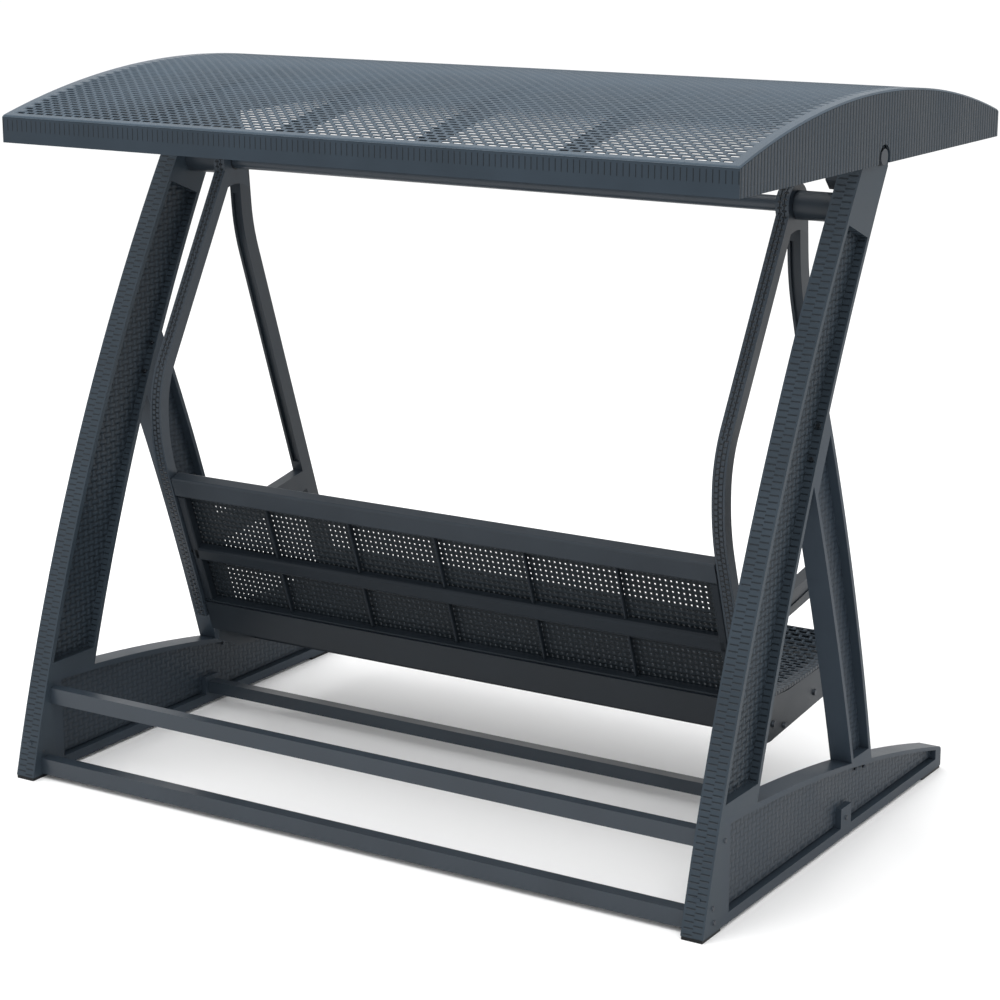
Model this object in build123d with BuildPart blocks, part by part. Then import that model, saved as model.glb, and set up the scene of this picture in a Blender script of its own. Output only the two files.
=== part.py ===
"""Porch swing: a moulded two-legged frame, a swinging bench on a steel axle, and a tilting canopy.

Frame of reference: millimetres, +Z up, ground at Z = 0, the seat faces -Y, and X runs along the bench.
Side profiles are drawn in the Y-Z plane from a distance in front of the rear heel and a height.
"""
import os
from math import sqrt

from build123d import *

# ---- bench, hangers and frame, across the width -------------------------------------------------
bench_width = 1542.0          # outside of the seat's side rails
arm_gap = 4.0                 # side rail to hanger arm, filled by spacers
arm_thickness = 33.0          # hanger arms and armrests, along X
sleeve_length = 103.0         # spacer sleeve from hub bush to leg
hub_play = 2.0                # hub bush flange to sleeve
leg_thickness = 55.0          # legs and foot beams, along X
end_panel_gap = 7.0           # leg to the canopy's end panel
end_panel_thickness = 5.0

arm_inner = bench_width / 2 + arm_gap
arm_outer = arm_inner + arm_thickness
leg_inner = arm_outer + hub_play + sleeve_length
leg_outer = leg_inner + leg_thickness
canopy_half = leg_outer + end_panel_gap + end_panel_thickness

# ---- overall depth and the two pivots (distance in front of the heel, height) -------------------
canopy_back = 70.0            # the canopy's rear edge
canopy_depth = 1385.0
overall_depth = canopy_back + canopy_depth      # heel to the canopy's front edge
pivot_forward = 780.0
pivot_height = 1595.0         # canopy pivot at the top of the leg
axle_back_of_pivot = 75.0
axle_below_pivot = 110.0
axle_forward = pivot_forward - axle_back_of_pivot
axle_height = pivot_height - axle_below_pivot

# ---- legs ---------------------------------------------------------------------------------------
pad_height = 8.0
leg_toe_width = 180.0         # width of the leg at the ground, before the foot beam takes over
leg_boss_radius = 52.0
leg_crown_back = 20.0         # corner of the leg's crown, behind the pivot
leg_crown_below = 4.0         # and below the boss's top
leg_rear_bow = 70.0           # how far the rear edge bows backwards
leg_front_bow = 59.0
leg_rear_top_back = 90.0      # top of the rear edge, behind and below the pivot
leg_rear_top_below = 18.0
leg_front_top_forward = 48.0
leg_front_top_below = 25.0
leg_wall = 13.0               # edge flanges
leg_web = 11.0                # web between the two pockets
outer_pocket_below = 165.0    # top of each pocket, below the pivot and level with the axle;
inner_pocket_below = 195.0    # its end falls forward from there
pocket_bottom = 285.0
pocket_fall = 0.39            # fall of the pocket's end per millimetre forward

# ---- front leg ----------------------------------------------------------------------------------
front_leg_foot_rear = 755.0
front_leg_foot_front = 862.0
front_leg_foot_height = 140.0
front_leg_top_height = 1180.0
front_leg_top_front = 500.0
front_leg_top_rear = 430.0
front_leg_top_rear_height = 1040.0
front_leg_front_bow = 27.0
front_leg_rear_bow = 14.0
front_leg_wall = 12.0
front_leg_root = 34.0         # solid margin against the rear leg, which takes the screws
front_leg_pocket_bottom = 188.0
front_leg_pocket_top = 1015.0

# ---- foot beam ----------------------------------------------------------------------------------
foot_rear = 88.0
foot_rear_height = 252.0
foot_front = 1293.0
foot_front_height = 57.0
foot_bow = 33.0
foot_ledge = 24.0             # height of the bottom ledge
foot_rim = 17.0               # thickness of the top rim
foot_pocket_depth = 14.0
foot_pocket_start = 118.0
foot_pocket_stop = 34.0       # end of the pocket, behind the toe
foot_pocket_bow = 29.7
foot_groove_height = 8.0      # deeper groove along the pocket's floor, above the ledge
foot_groove_depth = 20.0
foot_nose_radius = 14.0
foot_boss_margin = 12.0       # solid plastic round the middle crossbar's end
rear_pad_length = 85.0
front_pad_length = 110.0
pad_inset = 2.0
tongue_length = 68.0          # the foot beam's tongue, held in the leg's heel
tongue_thickness = 16.0
tongue_bottom = 42.0
tongue_top = 92.0
tongue_clearance = 0.3
tongue_root = 5.0             # tongue's overlap with the beam's body
foot_joint_back = 46.0        # joint bolt, behind the foot beam's rear
joint_margin = 2.5            # least plastic between a bolt and that joint

# ---- crossbars (rear face in front of the heel, underside, depth and height) ---------------------
crossbar_wall = 2.5
low_bar_forward = 31.0
low_bar_underside = 12.0
low_bar_depth = 35.0
low_bar_height = 40.0
high_bar_forward = 75.0
high_bar_underside = 184.0
high_bar_depth = 30.0
high_bar_height = 40.0
middle_bar_forward = 705.0
middle_bar_underside = 36.0
middle_bar_depth = 32.0
middle_bar_height = 33.0
plug_length = 40.0
plug_clearance = 0.2

# ---- axle, sleeves and bushes -------------------------------------------------------------------
axle_radius = 18.0
axle_wall = 3.0
axle_socket_depth = 30.0
sleeve_radius = 33.0
bush_wall = 3.0
bush_flange_radius = 30.0
bush_flange = 1.0
running_clearance = 0.05
fixed_clearance = 0.1

# ---- hanger arms and armrest --------------------------------------------------------------------
hub_radius = 50.0
hub_web_half = 55.0
hub_web_drop = 73.0
hub_web_arch = 16.0           # rise of the web's lower edge between the arms
hub_web_shoulder = 38.5       # half width of the web level with the axle
rear_arm_width = 31.0
rear_arm_top_back = 17.0
rear_arm_bend_back = 316.0    # the upright stretch of the S, behind the axle
rear_arm_upper_bend = 529.0   # below the axle
rear_arm_lower_bend = 686.0
rear_arm_end_back = 157.0
rear_arm_end_height = 322.0   # above the ground, level with the seat
rear_arm_upper_radius = 270.0
rear_arm_lower_radius = 460.0
front_arm_width = 42.0
front_arm_top_forward = 30.0
front_arm_bend_forward = 45.0
front_arm_bend_below = 175.0
front_arm_end_forward = 388.0
front_arm_end_height = 315.0
front_arm_radius = 500.0
arm_groove_depth = 7.0        # channels down the front arm's front and rear faces
arm_groove_width = 19.0
arm_groove_below_hub = 12.0
arm_groove_above_rest = 20.0
arm_bolt_up = 14.0            # lowest bolts, above the ends of the arms
back_bolt_height = 510.0      # bolt from the rear arm into the backrest
arm_bolt_end_gap = 1.0        # bolt's end, short of the side rail's inner face
armrest_height = 56.0
armrest_bow = 8.0
armrest_groove_width = 16.0
armrest_groove_depth = 3.0
armrest_groove_end = 42.0     # groove's ends, from the arms' centrelines
armrest_rear_height = 522.0
armrest_front_height = 597.0

# ---- seat and backrest --------------------------------------------------------------------------
seat_rear = 548.0
seat_front = 1112.0
seat_rear_height = 336.0
seat_dip = 800.0
seat_dip_height = 320.0
seat_knee = 1000.0
seat_knee_height = 330.0
seat_lip = 1076.0
seat_lip_height = 372.0
seat_skin = 10.0
seat_lip_drop = 32.0
seat_dip_radius = 240.0
seat_knee_radius = 60.0
seat_lip_radius = 40.0
seat_nose_radius = 9.0
seat_nose_inner_radius = 3.0
seat_under_shift = 4.0        # underside's knee and lip, forward of the top's
seat_nose_shift = 6.0
side_rail_thickness = 14.0
rail_rear = 560.0             # side rail's lower edge, from the backrest forwards
rail_rear_height = 250.0
rail_heel = 640.0
rail_heel_height = 212.0
rail_low = 710.0
rail_low_height = 206.0
rail_front = 1019.0
rail_front_height = 238.0
rail_nose = 1105.0
rail_nose_height = 262.0
channel_wall = 3.0
channel_end = 20.0            # closed end of a channel, which takes the bolts
rear_bearer_forward = 712.0
rear_bearer_underside = 214.0
rear_bearer_depth = 84.0
front_bearer_forward = 931.0
front_bearer_underside = 246.0
front_bearer_depth = 36.0
front_rail_forward = 1070.0
front_rail_underside = 290.0
front_rail_depth = 30.0
rear_rail_bolt_forward = 724.0          # side rail bolts into the two bearers
rear_rail_bolt_height = 247.0
middle_rail_bolt_forward = 785.0
middle_rail_bolt_height = 226.0
front_rail_bolt_forward = 949.0
front_rail_bolt_height = 263.0
back_top = 400.0              # rear face of the backrest at its top
back_top_height = 714.0
back_foot = 526.0             # and at the height of the seat
back_foot_height = 354.0
back_thickness = 30.0
back_skin = 7.5
back_columns = 6
back_rib = 6.0
back_edge = 22.0
back_top_band = 6.0           # bands left between and around the two rows of fields
back_middle_band = 44.0
back_lower_band = 6.0
back_upper_field = 150.0
top_rail_height = 50.0
top_rail_depth = 36.0
top_rail_round = 6.0
rear_rail_rise = 6.0          # rear rail, up and down from the seat's rear edge
rear_rail_fall = 78.0
rear_rail_depth = 28.0

# ---- canopy -------------------------------------------------------------------------------------
canopy_below_pivot = 15.0
rim_height = 65.0
canopy_rise = 97.0            # crown above the rims
roof_thickness = 5.0
rim_thickness = 5.0
rim_lip = 22.0
rib_thickness = 10.0
rib_depth = 35.0
outer_rib_place = 550.0
inner_rib_place = 185.0
notch_radius = 28.0
bracket_thickness = 36.0
bracket_gap = 5.0             # leg to bracket, filled by a washer
bracket_half = 75.0
bracket_drop = 73.0           # the bracket's lower edge, below the pivot
bracket_chamfer = 23.0
bracket_flange = 12.0         # flange under the roof, on the bracket's inner side
bracket_flange_width = 40.0
rear_roof_screw = 0.48        # shares of the roof's arch, from its rear
front_roof_screw = 0.545
roof_screw_bite = 4.0
screw_seat_gap = 0.02

# ---- fasteners ----------------------------------------------------------------------------------
bolt_radius = 4.0
bolt_head_radius = 9.0
bolt_head_height = 5.0
frame_head_radius = 6.0       # bolts through the legs into the crossbars and foot beams
frame_head_height = 3.0
bolt_head_taper = 25.0        # degrees
bolt_end_gap = 5.0            # bolt's end to the bottom of its hole
pivot_bolt_radius = 5.0
pivot_head_radius = 21.0
pivot_head_height = 12.0
pivot_head_taper = 12.0       # degrees
pivot_washer_radius = 15.0
pivot_nut_radius = 12.0
pivot_nut_thickness = 7.0
upper_leg_screw = 0.365       # shares of the rear leg's front edge, from its top
lower_leg_screw = 0.41
rear_foot_screw = 0.575       # shares of the foot beam's top, from its rear
front_foot_screw = 0.615
screw_clamp = 16.0            # thickness a joint screw clamps
screw_recess = 22.0           # counterbore behind the clamped thickness
screw_radius = 3.0
screw_head_radius = 5.0
screw_head_height = 6.0
screw_bite = 12.0             # length of a joint screw in the front leg
overcut = 1.0                 # how far a hole's cut runs past a face

os.makedirs("parts", exist_ok=True)


# ---- helpers ------------------------------------------------------------------------------------
def at(forward, height):
    """A point of a side profile: Y from the distance in front of the heel, and Z."""
    return (overall_depth / 2 - forward, height)


def save(piece, name):
    """Label a finished piece and write it."""
    piece.part.label = name
    export_step(piece.part, f"parts/{name}.step")


def save_pair(piece, name):
    """Write the right-hand piece and its mirror image."""
    save(piece, f"{name}_right")
    with BuildPart() as other:
        mirror(piece.part, about=Plane.YZ)
    save(other, f"{name}_left")


def closed(*edges_and_points):
    """A flat outline on XY (as Y, Z) from points; a number between two points bows that edge.

    A positive bow lies to the right of the direction of travel.
    """
    with BuildSketch() as outline:
        with BuildLine():
            items = list(edges_and_points) + [edges_and_points[0]]
            here = items[0]
            bow = None
            for item in items[1:]:
                if isinstance(item, (int, float)):
                    bow = item
                    continue
                if bow is None:
                    Line(here, item)
                else:
                    SagittaArc(here, item, -bow)
                here = item
                bow = None
        make_face()
    return outline.sketch


def plate(outline, x, thickness, minus=()):
    """Extrude an outline along +X from x, leaving out other outlines."""
    with BuildPart() as piece:
        with BuildSketch(Plane.YZ.offset(x)):
            add(outline)
            for other in minus:
                add(other, mode=Mode.SUBTRACT)
        extrude(amount=thickness)
    return piece


def disc(centre, radius):
    """A round outline for a side profile."""
    with BuildSketch() as outline:
        with Locations(centre):
            Circle(radius)
    return outline.sketch


# ---- side outlines ------------------------------------------------------------------------------
axle_point = at(axle_forward, axle_height)
pivot_point = at(pivot_forward, pivot_height)


def foot_outline():
    return closed(
        at(foot_rear, pad_height),
        at(foot_rear, foot_rear_height),
        foot_bow,
        at(foot_front, foot_front_height),
        at(foot_front, pad_height),
    )


def leg_outline(inset=0.0):
    """The rear leg from heel to pivot, or its flanges' inner line when inset."""
    rear_top = at(
        pivot_forward - leg_rear_top_back + inset,
        pivot_height - leg_rear_top_below,
    )
    front_top = at(
        pivot_forward + leg_front_top_forward - inset,
        pivot_height - leg_front_top_below,
    )
    with BuildSketch() as outline:
        add(
            closed(
                at(inset, pad_height),
                leg_rear_bow,
                rear_top,
                at(pivot_forward - leg_crown_back + inset, pivot_height + leg_boss_radius - leg_crown_below),
                front_top,
                -leg_front_bow,
                at(leg_toe_width - inset, pad_height),
            )
        )
        with Locations(pivot_point):
            Circle(leg_boss_radius - inset)
    return outline.sketch


def edge_frames(start, end, bow, shares, places_x):
    """Planes on a bowed edge, facing out of it, at the given shares of its length."""
    with BuildLine() as line:
        SagittaArc(start, end, -bow)
    edge = line.edges()[0]
    frames = []
    for share in shares:
        point = edge @ share
        heading = edge % share
        for x in places_x:
            origin = (x, point.X, point.Y)
            frames.append(Plane(origin=origin, x_dir=(1, 0, 0), z_dir=(0, heading.Y, -heading.X)))
    return frames


def screw_rods(frames, radius, near, far):
    """A rod on each plane, from near to far along it."""
    with BuildPart() as group:
        for frame in frames:
            with BuildSketch(frame.offset(near)):
                Circle(radius)
            extrude(amount=far - near)
    return group.part


def front_leg_outline(inset=0.0):
    return closed(
        at(front_leg_top_front - inset, front_leg_top_height),
        front_leg_front_bow,
        at(front_leg_foot_front - inset, front_leg_foot_height),
        at(front_leg_foot_rear + inset, front_leg_foot_height),
        -front_leg_rear_bow,
        at(front_leg_top_rear + inset, front_leg_top_rear_height),
    )


def band(bottom, top, fall=0.0):
    """Everything between two heights, used to stop a pocket; its top falls forward past the axle."""
    reach = overall_depth
    return closed(
        at(axle_forward - reach, bottom),
        at(axle_forward - reach, top + fall * reach),
        at(axle_forward + reach, top - fall * reach),
        at(axle_forward + reach, bottom),
    )


# ---- frame: rear legs ---------------------------------------------------------------------------
leg_pocket_depth = (leg_thickness - leg_web) / 2
leg_screws = edge_frames(
    at(pivot_forward + leg_front_top_forward, pivot_height - leg_front_top_below),
    at(leg_toe_width, pad_height),
    -leg_front_bow,
    (upper_leg_screw, lower_leg_screw),
    (leg_inner + leg_pocket_depth / 2, leg_outer - leg_pocket_depth / 2),
)
foot_screws = edge_frames(
    at(foot_rear, foot_rear_height),
    at(foot_front, foot_front_height),
    foot_bow,
    (rear_foot_screw, front_foot_screw),
    (leg_inner + foot_pocket_depth / 2, leg_outer - foot_pocket_depth / 2),
)
screw_hole = screw_radius + fixed_clearance
screw_head_hole = screw_head_radius + fixed_clearance
foot_joint = at(foot_rear - foot_joint_back, (tongue_bottom + tongue_top) / 2)
low_bar = (low_bar_forward, low_bar_underside, low_bar_depth, low_bar_height)
high_bar = (high_bar_forward, high_bar_underside, high_bar_depth, high_bar_height)
middle_bar = (middle_bar_forward, middle_bar_underside, middle_bar_depth, middle_bar_height)


def bar_centre(bar):
    forward, underside, depth, height = bar
    return at(forward + depth / 2, underside + height / 2)


# the high bar's bolt stands clear of the joint between heel and foot beam
high_bar_bolt = at(foot_rear + bolt_radius + joint_margin, bar_centre(high_bar)[1])


with BuildPart() as rear_leg:
    with BuildSketch(Plane.YZ.offset(leg_inner)):
        add(leg_outline())
        add(foot_outline(), mode=Mode.SUBTRACT)
    extrude(amount=leg_thickness)
    for face_x, depth, top in (
        (leg_outer, -leg_pocket_depth, pivot_height - outer_pocket_below),
        (leg_inner, leg_pocket_depth, pivot_height - inner_pocket_below),
    ):
        with BuildSketch(Plane.YZ.offset(face_x)):
            add(leg_outline(leg_wall))
            add(band(pocket_bottom, top, pocket_fall), mode=Mode.INTERSECT)
        extrude(amount=depth, mode=Mode.SUBTRACT)
    # blind socket for the axle
    with BuildSketch(Plane.YZ.offset(leg_inner)):
        with Locations(axle_point):
            Circle(axle_radius + fixed_clearance)
    extrude(amount=axle_socket_depth, mode=Mode.SUBTRACT)
    # bolt holes right through, and the slot for the foot beam's tongue
    with BuildSketch(Plane.YZ.offset(leg_inner)):
        with Locations(bar_centre(low_bar), foot_joint):
            Circle(bolt_radius + fixed_clearance)
        with Locations(pivot_point):
            Circle(pivot_bolt_radius + fixed_clearance)
    extrude(amount=leg_thickness, mode=Mode.SUBTRACT)
    slot = tongue_thickness / 2 + tongue_clearance
    with BuildSketch(Plane.YZ.offset((leg_inner + leg_outer) / 2 - slot)):
        add(
            closed(
                at(foot_rear - tongue_length - tongue_clearance, tongue_bottom - tongue_clearance),
                at(foot_rear - tongue_length - tongue_clearance, tongue_top + tongue_clearance),
                at(foot_rear, tongue_top + tongue_clearance),
                at(foot_rear, tongue_bottom - tongue_clearance),
            )
        )
    extrude(amount=2 * slot, mode=Mode.SUBTRACT)
    add(screw_rods(leg_screws, screw_hole, -screw_clamp, overcut), mode=Mode.SUBTRACT)
    add(
        screw_rods(leg_screws, screw_head_hole, -screw_clamp - screw_recess, -screw_clamp),
        mode=Mode.SUBTRACT,
    )
save_pair(rear_leg, "rear_leg")


# ---- frame: foot beams --------------------------------------------------------------------------
groove_top = pad_height + foot_ledge + foot_groove_height
bar_front = middle_bar_forward + middle_bar_depth
bar_top = middle_bar_underside + middle_bar_height
middle_boss = closed(
    at(middle_bar_forward - foot_boss_margin, 0),
    at(middle_bar_forward - foot_boss_margin, bar_top + foot_boss_margin),
    at(bar_front + foot_boss_margin, bar_top + foot_boss_margin),
    at(bar_front + foot_boss_margin, 0),
)


def foot_pocket(top_rear, top_bow, top_front):
    """A pocket from the ledge up, between its heights at the rear and at the front."""
    rear_corner = at(foot_pocket_start, top_rear)
    front_corner = at(foot_front - foot_pocket_stop, top_front)
    top = (rear_corner, top_bow, front_corner) if top_bow else (rear_corner, front_corner)
    return closed(
        at(foot_pocket_start, pad_height + foot_ledge),
        *top,
        at(foot_front - foot_pocket_stop, pad_height + foot_ledge),
    )


with BuildPart() as foot_beam:
    with BuildSketch(Plane.YZ.offset(leg_inner)):
        add(foot_outline())
    extrude(amount=leg_thickness)
    nose = foot_beam.edges().filter_by(Axis.X).group_by(Axis.Y)[0].sort_by(Axis.Z)[-1]
    fillet(nose, foot_nose_radius)
    # pockets in both faces, above the ledge and below the rim, with a deeper groove along their floor
    for face_x, inward in ((leg_outer, -1), (leg_inner, 1)):
        for top_rear, top_bow, top_front, depth in (
            (foot_rear_height - foot_rim, foot_pocket_bow, foot_front_height, foot_pocket_depth),
            (groove_top, 0.0, groove_top, foot_groove_depth),
        ):
            with BuildSketch(Plane.YZ.offset(face_x)):
                add(foot_pocket(top_rear, top_bow, top_front))
                add(middle_boss, mode=Mode.SUBTRACT)
            extrude(amount=inward * depth, mode=Mode.SUBTRACT)
    # tongue that enters the leg's heel
    with BuildSketch(Plane.YZ.offset((leg_inner + leg_outer - tongue_thickness) / 2)):
        add(
            closed(
                at(foot_rear - tongue_length, tongue_bottom),
                at(foot_rear - tongue_length, tongue_top),
                at(foot_rear + tongue_root, tongue_top),
                at(foot_rear + tongue_root, tongue_bottom),
            )
        )
    extrude(amount=tongue_thickness)
    with BuildSketch(Plane.YZ.offset(leg_inner)):
        with Locations(foot_joint, bar_centre(middle_bar)):
            Circle(bolt_radius + fixed_clearance)
        with Locations(high_bar_bolt):
            Circle(bolt_radius + fixed_clearance)
    extrude(amount=leg_thickness, mode=Mode.SUBTRACT)
    add(screw_rods(foot_screws, screw_hole, -screw_clamp, overcut), mode=Mode.SUBTRACT)
    add(
        screw_rods(foot_screws, screw_head_hole, -screw_clamp - screw_recess, -screw_clamp),
        mode=Mode.SUBTRACT,
    )
save_pair(foot_beam, "foot_beam")


# ---- frame: front legs --------------------------------------------------------------------------
front_leg_pocket = (leg_thickness - leg_web) / 2
with BuildPart() as front_leg:
    with BuildSketch(Plane.YZ.offset(leg_inner)):
        add(front_leg_outline())
        add(leg_outline(), mode=Mode.SUBTRACT)
        add(foot_outline(), mode=Mode.SUBTRACT)
    extrude(amount=leg_thickness)
    for face_x, depth in ((leg_outer, -front_leg_pocket), (leg_inner, front_leg_pocket)):
        with BuildSketch(Plane.YZ.offset(face_x)):
            add(front_leg_outline(front_leg_wall))
            add(leg_outline(-front_leg_root), mode=Mode.SUBTRACT)
            add(band(front_leg_pocket_bottom, front_leg_pocket_top), mode=Mode.INTERSECT)
        extrude(amount=depth, mode=Mode.SUBTRACT)
    add(
        screw_rods(leg_screws + foot_screws, screw_hole, -overcut, screw_bite + overcut),
        mode=Mode.SUBTRACT,
    )
save_pair(front_leg, "front_leg")

with BuildPart() as leg_joint_screws:
    add(screw_rods(leg_screws + foot_screws, screw_radius, -screw_clamp, screw_bite))
    add(
        screw_rods(
            leg_screws + foot_screws,
            screw_head_radius,
            -screw_clamp - screw_head_height,
            -screw_clamp,
        )
    )
with BuildPart() as all_joint_screws:
    add(leg_joint_screws.part)
    mirror(leg_joint_screws.part, about=Plane.YZ)
save(all_joint_screws, "leg_joint_screws")

# ---- frame: foot pads ---------------------------------------------------------------------------
with BuildPart() as foot_pads:
    pad_width = leg_thickness - 2 * pad_inset
    for rear, length in ((0.0, rear_pad_length), (foot_front - front_pad_length, front_pad_length)):
        for side in (-1, 1):
            centre_y = at(rear + length / 2, 0)[0]
            with BuildSketch(Plane.XY):
                with Locations((side * (leg_inner + leg_outer) / 2, centre_y)):
                    Rectangle(pad_width, length)
            extrude(amount=pad_height)
save(foot_pads, "foot_pads")


# ---- frame: crossbars, their plugs and bolts ----------------------------------------------------
def bar_outline(bar, inset=0.0):
    forward, underside, depth, height = bar
    return closed(
        at(forward + inset, underside + inset),
        at(forward + inset, underside + height - inset),
        at(forward + depth - inset, underside + height - inset),
        at(forward + depth - inset, underside + inset),
    )


bars = {"rear_low_crossbar": low_bar, "rear_high_crossbar": high_bar, "middle_crossbar": middle_bar}
bar_bolts = (bar_centre(low_bar), high_bar_bolt, bar_centre(middle_bar))
for name, bar in bars.items():
    tube = plate(bar_outline(bar), -leg_inner, 2 * leg_inner, minus=[bar_outline(bar, crossbar_wall)])
    save(tube, name)

with BuildPart() as crossbar_plugs:
    for bar, bolt_at in zip(bars.values(), bar_bolts):
        for start, length in ((leg_inner, -plug_length), (-leg_inner, plug_length)):
            with BuildSketch(Plane.YZ.offset(start)):
                add(bar_outline(bar, crossbar_wall + plug_clearance))
                with Locations(bolt_at):
                    Circle(bolt_radius, mode=Mode.SUBTRACT)
            extrude(amount=length)
save(crossbar_plugs, "crossbar_plugs")


def bolts(places, shank, radius, head_radius, head_height, head_x, head_taper=bolt_head_taper):
    """Domed bolts along X, heads at head_x facing outwards, with a mirrored set on the other side."""
    with BuildPart() as group:
        for side in (-1, 1):
            for place in places:
                with BuildSketch(Plane.YZ.offset(side * head_x)):
                    with Locations(place):
                        Circle(radius)
                extrude(amount=-side * shank)
                with BuildSketch(Plane.YZ.offset(side * head_x)):
                    with Locations(place):
                        Circle(head_radius)
                extrude(amount=side * head_height, taper=head_taper)
    return group


crossbar_bolts = bolts(
    bar_bolts,
    leg_thickness + plug_length - bolt_end_gap,
    bolt_radius,
    frame_head_radius,
    frame_head_height,
    leg_outer,
)
save(crossbar_bolts, "crossbar_bolts")
foot_bolts = bolts(
    [foot_joint], leg_thickness, bolt_radius, frame_head_radius, frame_head_height, leg_outer
)
save(foot_bolts, "foot_joint_bolts")

# ---- frame: axle and sleeves --------------------------------------------------------------------
axle_reach = leg_inner + axle_socket_depth
axle = plate(
    disc(axle_point, axle_radius),
    -axle_reach,
    2 * axle_reach,
    minus=[disc(axle_point, axle_radius - axle_wall)],
)
save(axle, "axle_tube")
axle_sleeve = plate(
    disc(axle_point, sleeve_radius),
    leg_inner - sleeve_length,
    sleeve_length,
    minus=[disc(axle_point, axle_radius + fixed_clearance)],
)
save_pair(axle_sleeve, "axle_sleeve")

# ---- bench: hanger arms -------------------------------------------------------------------------
def below_axle(forward, below):
    return at(axle_forward + forward, axle_height - below)


def hub_outline():
    with BuildSketch() as outline:
        with Locations(axle_point):
            Circle(hub_radius)
        add(
            closed(
                below_axle(-hub_web_half, hub_web_drop),
                below_axle(-hub_web_shoulder, 0),
                below_axle(hub_web_shoulder, 0),
                below_axle(hub_web_half, hub_web_drop),
                -hub_web_arch,
            )
        )
    return outline.sketch


rear_arm_points = (
    below_axle(-rear_arm_top_back, 0),
    below_axle(-rear_arm_bend_back, rear_arm_upper_bend),
    below_axle(-rear_arm_bend_back, rear_arm_lower_bend),
    below_axle(-rear_arm_end_back, axle_height - rear_arm_end_height),
)
front_arm_points = (
    below_axle(front_arm_top_forward, 0),
    below_axle(front_arm_bend_forward, front_arm_bend_below),
    below_axle(front_arm_end_forward, axle_height - front_arm_end_height),
)


def arm_outline(points, radii, width):
    with BuildSketch() as outline:
        with BuildLine():
            FilletPolyline(*points, radius=radii)
        trace(line_width=width)
    return outline.sketch


def rear_arm_outline(width):
    return arm_outline(rear_arm_points, [rear_arm_upper_radius, rear_arm_lower_radius], width)


def front_arm_outline(width):
    return arm_outline(front_arm_points, [front_arm_radius], width)


def along(ends, height):
    """The point of a straight stretch at a given height."""
    (start_y, start_z), (end_y, end_z) = ends
    share = (height - start_z) / (end_z - start_z)
    return (start_y + share * (end_y - start_y), height)


bush_radius = axle_radius + running_clearance + bush_wall
rear_arm_foot = along(rear_arm_points[-2:], rear_arm_points[-1][1] + arm_bolt_up)
rear_arm_back = along(rear_arm_points[-2:], back_bolt_height)
front_arm_foot = along(front_arm_points[-2:], front_arm_points[-1][1] + arm_bolt_up)

with BuildPart() as rear_arm:
    with BuildSketch(Plane.YZ.offset(arm_inner)):
        add(rear_arm_outline(rear_arm_width))
        add(hub_outline())
        with Locations(axle_point):
            Circle(bush_radius + fixed_clearance, mode=Mode.SUBTRACT)
        with Locations(rear_arm_foot, rear_arm_back):
            Circle(bolt_radius + fixed_clearance, mode=Mode.SUBTRACT)
    extrude(amount=arm_thickness)
save_pair(rear_arm, "rear_arm")

with BuildPart() as front_arm:
    with BuildSketch(Plane.YZ.offset(arm_inner)):
        add(front_arm_outline(front_arm_width))
        add(hub_outline(), mode=Mode.SUBTRACT)
        add(rear_arm_outline(rear_arm_width), mode=Mode.SUBTRACT)
        with Locations(front_arm_foot):
            Circle(bolt_radius + fixed_clearance, mode=Mode.SUBTRACT)
    extrude(amount=arm_thickness)
    # channels down the front and rear faces, from the hub to the armrest
    groove_start = arm_inner + (arm_thickness - arm_groove_width) / 2
    groove_bottom = armrest_front_height + armrest_height / 2 + arm_groove_above_rest
    with BuildSketch(Plane.YZ.offset(groove_start)):
        add(front_arm_outline(front_arm_width + overcut))
        add(front_arm_outline(front_arm_width - 2 * arm_groove_depth), mode=Mode.SUBTRACT)
        add(band(groove_bottom, axle_height - hub_web_drop - arm_groove_below_hub), mode=Mode.INTERSECT)
    extrude(amount=arm_groove_width, mode=Mode.SUBTRACT)
save_pair(front_arm, "front_arm")

with BuildPart() as armrest:
    half = armrest_height / 2
    with BuildSketch(Plane.YZ.offset(arm_inner)):
        rear_y = along(rear_arm_points[-2:], armrest_rear_height)[0]
        front_y = along(front_arm_points[-2:], armrest_front_height)[0]
        add(
            closed(
                (rear_y, armrest_rear_height - half),
                (rear_y, armrest_rear_height + half),
                -armrest_bow,
                (front_y, armrest_front_height + half),
                (front_y, armrest_front_height - half),
                armrest_bow,
            )
        )
        add(rear_arm_outline(rear_arm_width), mode=Mode.SUBTRACT)
        add(front_arm_outline(front_arm_width), mode=Mode.SUBTRACT)
    extrude(amount=arm_thickness)
    # groove along the outer face
    groove_half = armrest_groove_width / 2
    with BuildSketch(Plane.YZ.offset(arm_outer)):
        add(
            closed(
                (rear_y - armrest_groove_end, armrest_rear_height - groove_half),
                (rear_y - armrest_groove_end, armrest_rear_height + groove_half),
                -armrest_bow,
                (front_y + armrest_groove_end, armrest_front_height + groove_half),
                (front_y + armrest_groove_end, armrest_front_height - groove_half),
                armrest_bow,
            )
        )
    extrude(amount=-armrest_groove_depth, mode=Mode.SUBTRACT)
save_pair(armrest, "armrest")

with BuildPart() as hub_bushes:
    for side in (-1, 1):
        with BuildSketch(Plane.YZ.offset(side * arm_inner)):
            with Locations(axle_point):
                Circle(bush_radius)
                Circle(axle_radius + running_clearance, mode=Mode.SUBTRACT)
        extrude(amount=side * arm_thickness)
        with BuildSketch(Plane.YZ.offset(side * arm_outer)):
            with Locations(axle_point):
                Circle(bush_flange_radius)
                Circle(axle_radius + running_clearance, mode=Mode.SUBTRACT)
        extrude(amount=side * bush_flange)
save(hub_bushes, "hub_bushes")

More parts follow.
